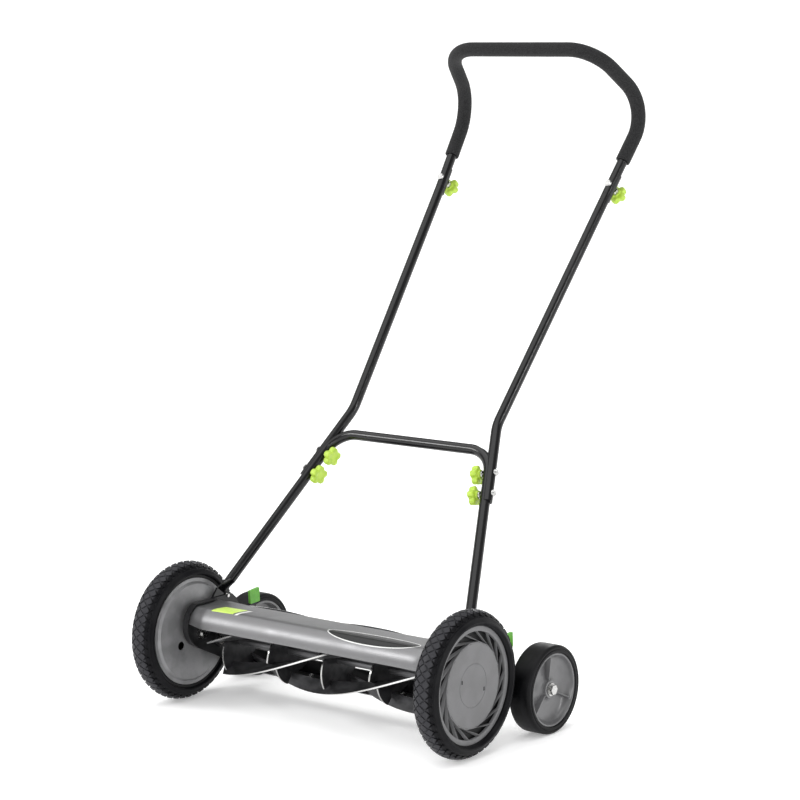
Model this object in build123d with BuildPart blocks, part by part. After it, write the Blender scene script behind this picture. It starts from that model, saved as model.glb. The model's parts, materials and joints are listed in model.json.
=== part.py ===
from build123d import *
import os
from math import acos, cos, degrees, radians, sin, sqrt, tan

os.makedirs("parts", exist_ok=True)

# A push reel mower: two geared drive wheels, a five-blade reel with its bed knife, two tail wheels on
# height arms, and a three-piece folding handle with a foam grip.
#
# Frame: +Z up, +Y to the rear where the operator walks, +X to the operator's left.
# The origin is on the ground, midway between the drive wheels, under their axle.
# Left pieces are made at +X and mirrored to the right. Lengths are in millimetres, angles in degrees.

# Driving dimensions -----------------------------------------------------------------------------
cut_width = 508.0            # length of the reel blades, 20 in
wheel_radius = 127.0         # drive wheel over the tyre, 10 in diameter
wheel_middle = 318.1         # drive wheel centre plane, from the mower's middle
tyre_half_width = 25.5
tyre_half_height = 25.8
rim_radius = 101.2           # where the tyre sits
tail_radius = 78.4           # tail wheel over its tyre, 6 in nominal
tail_middle = 333.0
tail_half_width = 22.4
tail_rim_radius = 64.3
tail_axle = (211.8, tail_radius)             # rearward and height

axle = (0.0, wheel_radius)                   # drive axle: rearward and height
module = 2.0
ring_teeth = 74
pinion_teeth = 14
gear_distance = module * (ring_teeth - pinion_teeth) / 2
gear_angle = -17.35                          # direction from the axle to the reel shaft
reel = (gear_distance * cos(radians(gear_angle)), axle[1] + gear_distance * sin(radians(gear_angle)))
gear_width = 11.0
gear_inner = 302.5                           # inboard face of the gears

blade_count = 5
blade_outer = 67.0
blade_inner = 41.0
blade_thickness = 3.0
reel_phase = -14.1                           # one blade's angle at the middle, from forwards to down
reel_twist = -165.5                          # turn of each blade over the cut width
spider_pitch = 116.0
spider_thickness = 3.0

plate_inner = 279.0                          # side plate, inboard and outboard faces
plate_outer = 282.0
hood_centre = (0.0, 145.0)                   # centre of the cover's round front
hood_radius = 41.0
hood_top = 182.0
hood_rear = 42.0
sheet = 1.5

tube_radius = 9.5                            # 3/4 in handle tube
tube_wall = 1.5
foam_radius = 13.6
handle_pivot = (44.0, 169.0)
leg_low = (271.2, 75.7, 214.1)               # lower handle: where the leg starts to flatten
leg_corner = (174.8, 271.0, 470.7)
middle_bend_height = 512.5                   # where the middle tubes turn up
tube_seam = (192.1, 607.7, 909.2)
grip_bend = (206.7, 725.7, 1068.6)
grip_corner = (166.4, 599.3, 1175.6)
corner_radius = 60.0
grip_radius = 73.0

arm_pivot = (105.0, 95.0)
arm_inner = 283.0
arm_outer = 288.0
notch_radius = 58.0
notch_step = 10.0
lever_angle = 48.9                           # the lever's tooth, seen from the arm pivot

running = 0.05                               # radial clearance of a running fit


# Helpers ----------------------------------------------------------------------------------------
def save(piece, name):
    """Label a finished piece and write it to its own file."""
    piece.label = name
    export_step(piece, f"parts/{name}.step")


def save_pair(piece, name):
    """Write a piece made for the left side, and its mirror image for the right side."""
    save(piece, name + "_left")
    save(mirror(piece, about=Plane.YZ), name + "_right")


def side_plane(x, centre=(0.0, 0.0)):
    """Plane across the mower at x: local x is rearward, local y is up, and it faces the left."""
    return Plane(origin=(x, centre[0], centre[1]), x_dir=(0, 1, 0), z_dir=(1, 0, 0))


def turned(profile, centre):
    """Solid of revolution of (x, radius) points about the crosswise axis through centre."""
    across = Plane(origin=(0, centre[0], centre[1]), x_dir=(1, 0, 0), z_dir=(0, -1, 0))
    with BuildPart() as blank:
        with BuildSketch(across):
            with BuildLine():
                Polyline(*profile, close=True)
            make_face()
        revolve(axis=Axis((0, centre[0], centre[1]), (1, 0, 0)))
    return blank.part


def rod(start, end, radius, centre):
    """Plain round bar along X, from start to end."""
    return turned([(start, 0), (end, 0), (end, radius), (start, radius)], centre)


def ring(start, end, inner, outer, centre):
    """Plain round sleeve along X, from start to end."""
    return turned([(start, inner), (end, inner), (end, outer), (start, outer)], centre)


def hex_bar(plane, across_flats, height, hole=0.0):
    """Hexagon bolt head or nut that stands on a plane."""
    with BuildPart() as blank:
        with BuildSketch(plane):
            RegularPolygon(across_flats / sqrt(3), 6)
            if hole > 0:
                Circle(hole, mode=Mode.SUBTRACT)
        extrude(amount=height)
    return blank.part


def bar_between(start, end, radius):
    """Plain round bar between two points."""
    with BuildPart() as blank:
        with BuildSketch(Plane(origin=start, z_dir=Vector(*end) - Vector(*start))):
            Circle(radius)
        extrude(amount=(Vector(*end) - Vector(*start)).length)
    return blank.part


def polar(radius, angle):
    """Point of a sketch at a radius and an angle."""
    return (radius * cos(radians(angle)), radius * sin(radians(angle)))


def mirrored(point):
    """The same point on the other side of the mower."""
    return (-point[0], point[1], point[2])


# Side plates ------------------------------------------------------------------------------------
plate_edge = 2.5
plate_radius = hood_radius + plate_edge
plate_top = hood_top + plate_edge
flange_depth = 9.0
bearing_seat = 17.5
quadrant_radius = notch_radius + 7
stop_pin = (76.0, 182.4)                     # the handle leans back on it
stop_pin_radius = 4.0
tie_rod = (-12.0, 158.0)
bar_bolt = (108.0, 61.0)
bracket_height = 57.0


low_front = (hood_centre[0] + plate_radius * cos(radians(244.7)),
             hood_centre[1] + plate_radius * sin(radians(244.7)))
front = (hood_centre[0] + plate_radius * cos(radians(205.3)),
         hood_centre[1] + plate_radius * sin(radians(205.3)))
top_front = (-sqrt(plate_radius ** 2 - (plate_top - hood_centre[1]) ** 2), plate_top)
quadrant = [(arm_pivot[0] + quadrant_radius * cos(radians(angle)),
             arm_pivot[1] + quadrant_radius * sin(radians(angle))) for angle in (88, 45, 10)]

# Outline: round front, level top, height quadrant and straight lower edge.
with BuildSketch() as plate_outline:
    with BuildLine():
        ThreePointArc(low_front, front, top_front)
        Polyline(top_front, (88, plate_top), (98, 176), quadrant[0])
        ThreePointArc(*quadrant)
        Polyline(quadrant[2], (146, 50), (128, 43), (106, 46.5), low_front)
    make_face()
plate_face = plate_outline.sketch

with BuildPart() as side_plate:
    with BuildSketch(side_plane(plate_inner)):
        add(plate_face)
        with Locations(axle):
            Circle(6.1, mode=Mode.SUBTRACT)
        with Locations(reel):
            Circle(bearing_seat, mode=Mode.SUBTRACT)
        with Locations(handle_pivot, arm_pivot, tie_rod, bar_bolt):
            Circle(4.1, mode=Mode.SUBTRACT)
        with Locations(stop_pin):
            Circle(3.0, mode=Mode.SUBTRACT)
        with Locations(arm_pivot):
            with PolarLocations(notch_radius + 4, 5, start_angle=lever_angle - 2 * notch_step,
                                angular_range=4 * notch_step, endpoint=True):
                Rectangle(9, 4.5, mode=Mode.SUBTRACT)
    extrude(amount=plate_outer - plate_inner)
    # Turned-in flange round the front and the top, where the cover tucks in.
    with BuildSketch(side_plane(plate_inner)):
        add(plate_face)
        offset(amount=-plate_edge + 0.1, mode=Mode.SUBTRACT)
        with Locations((-3, 150)):
            Rectangle(82, 92, mode=Mode.INTERSECT)
    extrude(amount=-flange_depth)
    # Turned-in tab that the knife adjusting screw bears on.
    with BuildSketch(Plane.XY.offset(bracket_height)):
        with Locations((plate_inner - 12, 136)):
            Rectangle(24, 14)
            Circle(3.1, mode=Mode.SUBTRACT)
    extrude(amount=plate_edge)
save_pair(side_plate.part, "side_plate")

# Cover over the reel -----------------------------------------------------------------------------
crease = (-sqrt(hood_radius ** 2 - 36.0 ** 2), hood_centre[1] + 36.0)
cover_half = plate_inner - 1.0
with BuildPart() as blade_cover:
    with BuildSketch(side_plane(-cover_half)):
        inner = hood_radius - sheet
        inner_crease = (-sqrt(inner ** 2 - 34.6 ** 2), hood_centre[1] + 34.6)
        with BuildLine():
            ThreePointArc((-hood_radius, hood_centre[1] + 2), (-35.5, hood_centre[1] + 20.5), crease)
            Polyline(crease, (hood_rear, hood_top - 0.2), (hood_rear, hood_top - 0.2 - sheet), inner_crease)
            ThreePointArc(inner_crease, (-34.2, hood_centre[1] + 19.76), (-inner, hood_centre[1] + 2))
            Line((-inner, hood_centre[1] + 2), (-hood_radius, hood_centre[1] + 2))
        make_face()
    extrude(amount=2 * cover_half)
save(blade_cover.part, "blade_cover")

# Tie rod and its end screws ----------------------------------------------------------------------
tie_radius = 7.0
with BuildPart() as tie_bar:
    add(ring(-plate_inner, plate_inner, 4.0, tie_radius, tie_rod))
    add(rod(-plate_inner + 26, plate_inner - 26, 4.0, tie_rod))
save(tie_bar.part, "tie_rod")

with BuildPart() as tie_screws:
    add(rod(plate_inner - 25, plate_outer, 4.0, tie_rod))
    add(hex_bar(side_plane(plate_outer, tie_rod), 13, 5))
    mirror(about=Plane.YZ)
save(tie_screws.part, "tie_rod_screws")

# Cutter bar with the bed knife --------------------------------------------------------------------
knife_top = 47.2
knife_gap = 0.3
lip = reel[0] + sqrt((blade_outer + knife_gap) ** 2 - (reel[1] - knife_top) ** 2)
knife_thickness = 3.0
knife_rear = 120.0
bar_thickness = 4.0
bar_front = 95.0
bar_rear = 128.0
bar_top = 76.0
lug_inner = plate_inner - 5.0
screw_places = [-210, -105, 0, 105, 210]
with BuildPart() as cutter_bar:
    with BuildSketch(side_plane(-lug_inner)):
        with BuildLine():
            Polyline((bar_front, knife_top), (bar_rear, knife_top), (bar_rear, bar_top),
                     (bar_rear - bar_thickness, bar_top),
                     (bar_rear - bar_thickness, knife_top + bar_thickness),
                     (bar_front, knife_top + bar_thickness), close=True)
        make_face()
    extrude(amount=2 * lug_inner)
    with BuildSketch(side_plane(lug_inner)):
        with Locations((bar_rear - 15, (knife_top + bar_top) / 2)):
            RectangleRounded(30, bar_top - knife_top, 4)
        with Locations(bar_bolt):
            Circle(4.1, mode=Mode.SUBTRACT)
    extrude(amount=plate_inner - lug_inner)
    with BuildSketch(Plane.XY.offset(bar_top - bar_thickness)):
        with Locations((plate_inner - 13.5, 135.5)):
            Rectangle(16, 15)
        with Locations((plate_inner - 12, 136)):
            Circle(3.1, mode=Mode.SUBTRACT)
    extrude(amount=bar_thickness)
    mirror(about=Plane.YZ)
    with Locations([Location((x, 107, knife_top + bar_thickness)) for x in screw_places]):
        Hole(2.6, depth=bar_thickness)
save(cutter_bar.part, "cutter_bar")

with BuildPart() as bed_knife:
    with BuildSketch(side_plane(-cut_width / 2 - 4)):
        with BuildLine():
            Polyline((lip, knife_top), (lip + 4, knife_top - knife_thickness),
                     (knife_rear, knife_top - knife_thickness), (knife_rear, knife_top), close=True)
        make_face()
    extrude(amount=cut_width + 8)
    with Locations([Location((x, 107, knife_top)) for x in screw_places]):
        Hole(2.6, depth=knife_thickness)
save(bed_knife.part, "bed_knife")

with BuildPart() as knife_screws:
    for x in screw_places:
        with BuildSketch(Plane.XY.offset(knife_top - knife_thickness - 1.5)):
            with Locations((x, 107)):
                Circle(5)
        extrude(amount=1.5)
        with BuildSketch(Plane.XY.offset(knife_top - knife_thickness)):
            with Locations((x, 107)):
                Circle(2.5)
        extrude(amount=knife_thickness + bar_thickness + 5)
        with BuildSketch(Plane.XY.offset(knife_top + bar_thickness)):
            with Locations((x, 107)):
                RegularPolygon(5.5, 6)
        extrude(amount=4)
save(knife_screws.part, "bed_knife_screws")

with BuildPart() as bar_bolts:
    add(rod(lug_inner, plate_outer, 4.0, bar_bolt))
    add(hex_bar(side_plane(plate_outer, bar_bolt), 13, 5))
    add(hex_bar(side_plane(lug_inner - 6, bar_bolt), 13, 6))
    mirror(about=Plane.YZ)
save(bar_bolts.part, "cutter_bar_bolts")

with BuildPart() as adjusters:
    screw_foot = Plane.XY.offset(bracket_height - 8)
    with BuildSketch(screw_foot):
        with Locations((plate_inner - 12, 136)):
            Circle(3.0)
    extrude(amount=bar_top - bracket_height + 8)
    with BuildSketch(Plane.XY.offset(bar_top)):
        with Locations((plate_inner - 12, 136)):
            RegularPolygon(5.8, 6)
    extrude(amount=4.5)
    with BuildSketch(Plane.XY.offset(bracket_height - 5)):
        with Locations((plate_inner - 12, 136)):
            RegularPolygon(5.8, 6)
    extrude(amount=5)
    mirror(about=Plane.YZ)
save(adjusters.part, "knife_adjusters")

# Dust covers, stub axles and their fasteners -------------------------------------------------------
dish_radius = 98.0
with BuildPart() as dust_cover:
    add(turned([(plate_outer, 6.5), (plate_outer + sheet, 6.5), (plate_outer + sheet, 15),
                (plate_outer + 11.5, 21), (plate_outer + 14, 86), (plate_outer + 18, 90),
                (plate_outer + 18, dish_radius), (plate_outer + 16.5, dish_radius),
                (plate_outer + 16.5, 91.5), (plate_outer + 12.5, 87.5), (plate_outer + 10, 22.5),
                (plate_outer, 16.5)], axle))
    with BuildSketch(side_plane(plate_outer)):
        with Locations(reel):
            Circle(25)
        with Locations((-36, 107)):
            Circle(8)
    extrude(amount=30, mode=Mode.SUBTRACT)
save_pair(dust_cover.part, "dust_cover")

axle_radius = 6.35
hub_inner = 304.0
hub_outer = 330.0
with BuildPart() as axle_stud:
    add(turned([(plate_inner - 12, 0), (plate_inner - 12, 6.0), (plate_outer + sheet, 6.0),
                (plate_outer + sheet, 11.0), (plate_outer + 8, 11.0), (plate_outer + 8, 9.0),
                (hub_inner - 0.4, 9.0), (hub_inner - 0.4, axle_radius), (hub_outer + 0.4, axle_radius),
                (hub_outer + 0.4, 5.2), (hub_outer + 1.7, 5.2), (hub_outer + 1.7, axle_radius),
                (hub_outer + 3.2, axle_radius), (hub_outer + 3.2, 0)], axle))
    mirror(about=Plane.YZ)
save(axle_stud.part, "wheel_axles")

with BuildPart() as axle_hardware:
    add(hex_bar(side_plane(plate_inner - 8.5, axle), 17, 8.5, 6.0))
    with BuildSketch(side_plane(hub_outer + 0.4, axle)):
        Circle(10)
        Circle(5.2, mode=Mode.SUBTRACT)
        with Locations((0, -8)):
            Rectangle(5, 8, mode=Mode.SUBTRACT)
    extrude(amount=1.3)
    mirror(about=Plane.YZ)
save(axle_hardware.part, "axle_nuts_and_clips")

# Reel bearings ------------------------------------------------------------------------------------
journal = 6.0
bearing_outer = 14.0
with BuildPart() as bearing_cups:
    add(turned([(plate_inner - 5, bearing_outer), (plate_outer + 4, bearing_outer),
                (plate_outer + 4, 12.5), (plate_outer + 5.5, 12.5), (plate_outer + 5.5, bearing_seat),
                (plate_outer + 2, bearing_seat), (plate_outer + 2, 23.5), (plate_outer, 23.5),
                (plate_outer, bearing_seat), (plate_inner - 5, bearing_seat)], reel))
    mirror(about=Plane.YZ)
save(bearing_cups.part, "bearing_cups")

with BuildPart() as bearings:
    race_in = plate_inner - 3
    race_out = plate_outer + 4
    add(ring(race_in, race_out, journal + running, 8.2, reel))
    add(ring(race_in, race_out, 11.8, bearing_outer, reel))
    with Locations(side_plane((race_in + race_out) / 2, reel)):
        with PolarLocations(10.0, 8):
            Sphere(1.8)
    mirror(about=Plane.YZ)
save(bearings.part, "reel_bearings")

# Handle and arm pivots on the chassis --------------------------------------------------------------
pad_thickness = 4.0
pad_inner = plate_outer + 0.3
pad_outer = pad_inner + pad_thickness
with BuildPart() as pivot_bolts:
    add(rod(plate_inner - 6, pad_outer + 0.3, 4.0, handle_pivot))
    add(hex_bar(side_plane(plate_inner - 6, handle_pivot), 13, 6, 4.0))
    add(rod(pad_outer + 0.3, pad_outer + 4.0, 8.0, handle_pivot))
    mirror(about=Plane.YZ)
save(pivot_bolts.part, "handle_pivot_bolts")

with BuildPart() as stop_pins:
    add(rod(plate_inner - 2, plate_outer, 3.0, stop_pin))
    add(rod(plate_outer, pad_outer + 1, stop_pin_radius, stop_pin))
    mirror(about=Plane.YZ)
save(stop_pins.part, "handle_stops")

with BuildPart() as arm_bolts:
    add(rod(plate_inner - 6, arm_outer + 0.3, 4.0, arm_pivot))
    add(hex_bar(side_plane(plate_inner - 6, arm_pivot), 13, 6, 4.0))
    add(rod(arm_outer + 0.3, arm_outer + 2.8, 8.0, arm_pivot))
    mirror(about=Plane.YZ)
save(arm_bolts.part, "arm_pivot_bolts")


# Reel ---------------------------------------------------------------------------------------------
def reel_plane(x, blade=0):
    """Plane across the reel at x whose local x runs out along one blade, and local y the way it turns."""
    angle = radians(reel_phase + 360 / blade_count * blade + reel_twist * x / cut_width)
    return Plane(origin=(x, reel[0], reel[1]), x_dir=(0, -cos(angle), -sin(angle)), z_dir=(1, 0, 0))


shaft_radius = 8.0
shaft_half = 262.0
shaft_end = gear_inner + gear_width + 3.0
slot_width = 3.0
slot_start = gear_inner + 1.5
slot_end = gear_inner + gear_width - 1.5
with BuildPart() as reel_shaft:
    add(rod(-shaft_half, shaft_half, shaft_radius, reel))
    for side in (1, -1):
        add(rod(side * shaft_half, side * shaft_end, journal, reel))
        with BuildSketch(side_plane(side * slot_start, reel)):
            Rectangle(slot_width, 4 * journal)
        extrude(amount=side * (slot_end - slot_start), mode=Mode.SUBTRACT)
        add(ring(side * (gear_inner + gear_width + 0.6), side * (gear_inner + gear_width + 1.9),
                 journal - 1, journal + 1, reel), mode=Mode.SUBTRACT)
save(reel_shaft.part, "reel_shaft")

with BuildPart() as pawls:
    with BuildSketch(side_plane(slot_start, reel)):
        Rectangle(slot_width, 2 * journal - 0.8)
    extrude(amount=slot_end - slot_start)
    mirror(about=Plane.YZ)
save(pawls.part, "drive_pawls")

with BuildPart() as shaft_clips:
    with BuildSketch(side_plane(gear_inner + gear_width + 0.6, reel)):
        Circle(9.5)
        Circle(journal - 1, mode=Mode.SUBTRACT)
        with Locations((0, -8)):
            Rectangle(4, 8, mode=Mode.SUBTRACT)
    extrude(amount=1.3)
    mirror(about=Plane.YZ)
save(shaft_clips.part, "shaft_clips")

blade_sections = 12
with BuildPart() as reel_blades:
    for blade in range(blade_count):
        for section in range(blade_sections + 1):
            x = cut_width * (section / blade_sections - 0.5)
            with BuildSketch(reel_plane(x, blade)):
                with Locations(((blade_inner + blade_outer) / 2, 0)):
                    Rectangle(blade_outer - blade_inner, blade_thickness)
        loft()
save(reel_blades.part, "reel_blades")

with BuildPart() as reel_spiders:
    for step in range(-2, 3):
        x = spider_pitch * step
        with BuildSketch(reel_plane(x).offset(-spider_thickness / 2)):
            with BuildLine():
                face = blade_thickness / 2 + 0.6
                for arm in range(blade_count):
                    turn = 360 / blade_count
                    start = arm * turn
                    along = Vector(*polar(1, start + turn))
                    across = Vector(*polar(1, start + turn + 90))
                    foot = along * 50 - across * face
                    inside = along * (blade_inner - 0.3) - across * face
                    under = along * (blade_inner - 0.3) + across * face
                    rise = Vector(*polar(43.5, start + turn + 3.5))
                    tip = polar(62.5, start + 60.5)
                    ThreePointArc(polar(43.5, start + 3.5), polar(53.5, start + 34), tip)
                    Polyline(tip, foot, inside, under, rise)
            make_face()
            Circle(shaft_radius, mode=Mode.SUBTRACT)
        extrude(amount=spider_thickness)
save(reel_spiders.part, "reel_spiders")

# Drive pinions --------------------------------------------------------------------------------------
addendum = 0.85 * module
dedendum = 1.2 * module
flank = tan(radians(20))
pinion_pitch = module * pinion_teeth / 2
ring_pitch = module * ring_teeth / 2
pinion_half = 1.35                            # half a pinion tooth at the pitch circle
space_half = 1.80                             # half a ring tooth space at the pitch circle
with BuildPart() as drive_pinion:
    with BuildSketch(side_plane(gear_inner, reel)):
        Circle(pinion_pitch - dedendum)
        with PolarLocations(0, pinion_teeth, start_angle=gear_angle):
            Polygon((pinion_pitch - dedendum - 1, -pinion_half - flank * dedendum),
                    (pinion_pitch + addendum, -pinion_half + flank * addendum),
                    (pinion_pitch + addendum, pinion_half - flank * addendum),
                    (pinion_pitch - dedendum - 1, pinion_half + flank * dedendum), align=None)
        Circle(journal + running, mode=Mode.SUBTRACT)
        with PolarLocations(journal + 0.6, 3, start_angle=gear_angle + 90):
            Circle(1.7, mode=Mode.SUBTRACT)
    extrude(amount=gear_width)
save_pair(drive_pinion.part, "drive_pinion")

# Drive wheels ----------------------------------------------------------------------------------------
gear_wall = 82.0
with BuildPart() as drive_wheel:
    add(turned([(298.4, 99.4), (298.4, 103.2), (301, 103.2), (301, rim_radius), (329, rim_radius),
                (329, 97), (326, 97), (326, 16), (hub_outer, 16), (hub_outer, 8.0), (hub_inner, 8.0),
                (hub_inner, 16), (322, 16), (322, 97), (304, 97), (301.5, 99.4)], axle))
    with BuildSketch(side_plane(gear_inner, axle)):
        Circle(gear_wall)
        Circle(ring_pitch - addendum, mode=Mode.SUBTRACT)
        with PolarLocations(0, ring_teeth, start_angle=gear_angle):
            Polygon((ring_pitch - addendum - 1, -space_half - flank * (addendum + 1)),
                    (ring_pitch + dedendum, -space_half + flank * dedendum),
                    (ring_pitch + dedendum, space_half - flank * dedendum),
                    (ring_pitch - addendum - 1, space_half + flank * (addendum + 1)),
                    align=None, mode=Mode.SUBTRACT)
    extrude(amount=gear_width)
    add(ring(gear_inner + gear_width, 322, ring_pitch + dedendum + 1, gear_wall, axle))
    # Stiffening ribs between the gear wall and the rim barrel.
    with BuildSketch(side_plane(312, axle)):
        with PolarLocations((gear_wall + 97) / 2, 12):
            Rectangle(97 - gear_wall + 1, 3)
        Circle(97.5, mode=Mode.INTERSECT)
    extrude(amount=10)
save_pair(drive_wheel.part, "drive_wheel")

with BuildPart() as wheel_bushing:
    add(ring(hub_inner, hub_outer, axle_radius + running, 8.0, axle))
save_pair(wheel_bushing.part, "wheel_bushing")

with BuildPart() as tyre:
    with BuildSketch(Plane(origin=(0, axle[0], axle[1]), x_dir=(1, 0, 0), z_dir=(0, -1, 0))):
        crown = [(wheel_middle + tyre_half_width * cos(radians(angle)),
                  rim_radius + tyre_half_height * sin(radians(angle))) for angle in range(10, 171, 16)]
        with BuildLine():
            Spline(*crown)
            Polyline(crown[-1], (297.5, 103.2), (301, 103.2), (301, rim_radius), (338, rim_radius),
                     crown[0])
        make_face()
    revolve(axis=Axis((0, axle[0], axle[1]), (1, 0, 0)))
save_pair(tyre.part, "tyre")

# Hubcap: flat rim ring and centre disc joined by swept vanes with open slots between them.
vane_count = 20
cap_face = 334.6
cap_back = 332.6
slot_inner = 75.0
slot_outer = 92.0
with BuildPart() as hubcap:
    add(turned([(329, 98.5), (329, rim_radius), (cap_face, rim_radius), (cap_face, 0), (333.6, 0),
                (333.6, 30), (cap_back, 32), (cap_back, 98.5)], axle))
    with BuildSketch(side_plane(329, axle)):
        with PolarLocations(0, vane_count):
            Polygon(polar(slot_inner, 0), polar(slot_inner, 12), polar(slot_outer, 30),
                    polar(slot_outer, 18), align=None)
        Circle(slot_outer, mode=Mode.INTERSECT)
    extrude(amount=10, mode=Mode.SUBTRACT)
save_pair(hubcap.part, "hubcap")

# Tail arms ---------------------------------------------------------------------------------------------
arm_end_radius = 13.0
hinge = (arm_outer + 3.2, 104.0)              # lever hinge line, which runs rearward
hinge_radius = 2.8
pin_radius = 1.5
lever_front = 143.5
lever_rear = 158.5
ear = 3.0
with BuildPart() as tail_arm:
    with BuildSketch(side_plane(arm_inner)):
        with Locations(arm_pivot):
            Circle(15)
        with Locations(tail_axle):
            Circle(arm_end_radius)
        with BuildLine():
            Polyline((arm_pivot[0] + 2, arm_pivot[1] + 14.9), (140, 111), (168, 111),
                     (tail_axle[0] + 3, tail_axle[1] + 12.6), (tail_axle[0] - 2, tail_axle[1] - 12.8),
                     (arm_pivot[0] - 2.4, arm_pivot[1] - 14.8), close=True)
        make_face()
        with Locations(arm_pivot):
            Circle(4.0 + running, mode=Mode.SUBTRACT)
        with Locations(tail_axle):
            Circle(5.0, mode=Mode.SUBTRACT)
    extrude(amount=arm_outer - arm_inner)
    # Spacer boss that carries the tail wheel outboard of the drive wheel.
    add(ring(arm_outer, 304.5, 5.0, 11.0, tail_axle))
    # Two ears that hold the lever's hinge pin.
    for start in (lever_front - 0.5 - ear, lever_rear + 0.5):
        with BuildSketch(Plane(origin=(0, start, 0), x_dir=(-1, 0, 0), z_dir=(0, 1, 0))):
            with Locations((-hinge[0], hinge[1])):
                Rectangle(6.4, 8)
                Circle(pin_radius, mode=Mode.SUBTRACT)
        extrude(amount=ear)
save_pair(tail_arm.part, "tail_arm")

with BuildPart() as tail_bolt:
    bolt_seat = 347.0
    add(rod(arm_inner - 9, bolt_seat, 5.0, tail_axle))
    add(hex_bar(side_plane(arm_inner - 8, tail_axle), 16, 8, 5.0))
    add(rod(bolt_seat, bolt_seat + 1.8, 11.0, tail_axle))
    add(hex_bar(side_plane(bolt_seat + 1.8, tail_axle), 16, 6))
save_pair(tail_bolt.part, "tail_wheel_bolt")

with BuildPart() as lever_pin:
    add(bar_between((hinge[0], lever_front - 0.5 - ear, hinge[1]),
                    (hinge[0], lever_rear + 0.5 + ear, hinge[1]), pin_radius))
save_pair(lever_pin.part, "lever_pin")

# Height levers -------------------------------------------------------------------------------------------
lever_inner = arm_outer + 0.5
lever_outer = lever_inner + 3.0
tooth = (arm_pivot[0] + notch_radius * cos(radians(lever_angle)),
         arm_pivot[1] + notch_radius * sin(radians(lever_angle)))
with BuildPart() as lever:
    with BuildSketch(side_plane(lever_inner)):
        with BuildLine():
            Polyline((lever_front, hinge[1]), (lever_rear, hinge[1]), (lever_rear, 112), (160, 130),
                     (166, 150), (169, 171), (153, 170), (150, 150), (134, 136), (134, 113),
                     (lever_front, 111), close=True)
        make_face()
    extrude(amount=lever_outer - lever_inner)
    add(bar_between((hinge[0], lever_front, hinge[1]), (hinge[0], lever_rear, hinge[1]), hinge_radius))
    add(bar_between((hinge[0], lever_front - 1, hinge[1]), (hinge[0], lever_rear + 1, hinge[1]),
                    pin_radius + running), mode=Mode.SUBTRACT)
    with BuildSketch(side_plane(plate_outer + 1)):
        with Locations(tooth):
            Circle(2.0)
    extrude(amount=lever_inner - plate_outer - 1)
save_pair(lever.part, "height_lever")

with BuildPart() as lever_tab:
    with BuildSketch(side_plane(lever_inner - 1)):
        Polygon((149, 152), (175, 153.5), (173.5, 180), (147, 177), align=None)
    extrude(amount=lever_outer - lever_inner + 2)
    fillet(lever_tab.edges().filter_by(Axis.X), radius=1.5)
    add(lever.part, mode=Mode.SUBTRACT)
save_pair(lever_tab.part, "lever_tab")

# Tail wheels -----------------------------------------------------------------------------------------------
with BuildPart() as tail_rim:
    add(turned([(312, tail_rim_radius), (353, tail_rim_radius), (353, 60), (350, 57.5), (338, 52),
                (336, 20), (346.4, 16), (346.4, 5.0 + running), (305, 5.0 + running), (305, 12),
                (328, 16), (331, 52), (331, 60.5), (312, 60.5)], tail_axle))
    with BuildSketch(side_plane(336.5, tail_axle)):
        with PolarLocations(35, 3, start_angle=95):
            Rectangle(40, 2.5)
    extrude(amount=8)
save_pair(tail_rim.part, "tail_rim")

with BuildPart() as tail_tyre:
    inner_face = tail_middle - tail_half_width
    outer_face = tail_middle + tail_half_width
    add(turned([(inner_face, 66.5), (inner_face, 71.5), (inner_face + 2.5, 76.3), (inner_face + 8, tail_radius),
                (outer_face - 8, tail_radius), (outer_face - 2.5, 76.3), (outer_face, 71.5),
                (outer_face, 66.5), (outer_face - 2.4, tail_rim_radius),
                (inner_face + 2.4, tail_rim_radius)], tail_axle))
save_pair(tail_tyre.part, "tail_tyre")


# Handle ------------------------------------------------------------------------------------------------------
def along(start, end, distance):
    """Point at a distance from start towards end."""
    return tuple(Vector(*start) + (Vector(*end) - Vector(*start)).normalized() * distance)


def tube_along(points, radius, outer, inner=0.0):
    """Bent tube, or a bent bar where inner is zero, along a path with rounded corners."""
    with BuildPart() as bent:
        with BuildLine() as path:
            FilletPolyline(*points, radius=radius)
        with BuildSketch(Plane(origin=path.line @ 0, z_dir=path.line % 0)):
            Circle(outer)
            if inner > 0:
                Circle(inner, mode=Mode.SUBTRACT)
        sweep()
    return bent.part


leg_way = (Vector(*leg_corner) - Vector(*leg_low)).normalized()
leg_out = (Vector(1, 0, 0) - leg_way * leg_way.X).normalized()
grip_way = (Vector(*grip_bend) - Vector(*tube_seam)).normalized()
grip_out = Vector(0, -grip_way.Z, grip_way.Y).normalized()
grip_shift = 2.6                              # how far the middle tube's saddle stands behind
leg_shift = 4.6                               # how far the middle tube stands outside the leg
joint_length = 42.0                           # between the two lower bolts
lower_bolt = Vector(*leg_low) + leg_way * ((404 - leg_low[2]) / leg_way.Z)
middle_bolt = lower_bolt + leg_way * joint_length
shifted = lower_bolt + leg_out * leg_shift
middle_bend = tuple(shifted + leg_way * ((middle_bend_height - shifted.Z) / leg_way.Z))
upper_bolt = Vector(*tube_seam) + grip_way * 19.7
bolt_radius = 3.0

# Each bolt: point on the tube's axis, direction to its head, head seat, and where its knob starts.
bolts = [("lower", lower_bolt, leg_out, leg_shift + tube_radius, tube_radius + 3.5),
         ("middle", middle_bolt, leg_out, leg_shift + tube_radius, tube_radius + 3.5),
         ("upper", upper_bolt, grip_out, tube_radius, tube_radius + grip_shift + 7.0)]


def bolt_holes():
    """Clearance holes for the left side's three bolts."""
    with BuildPart() as holes:
        for name, centre, out, seat, start in bolts:
            add(bar_between(tuple(centre - out * 20), tuple(centre + out * 20), bolt_radius + 0.1))
    return holes.part


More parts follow.
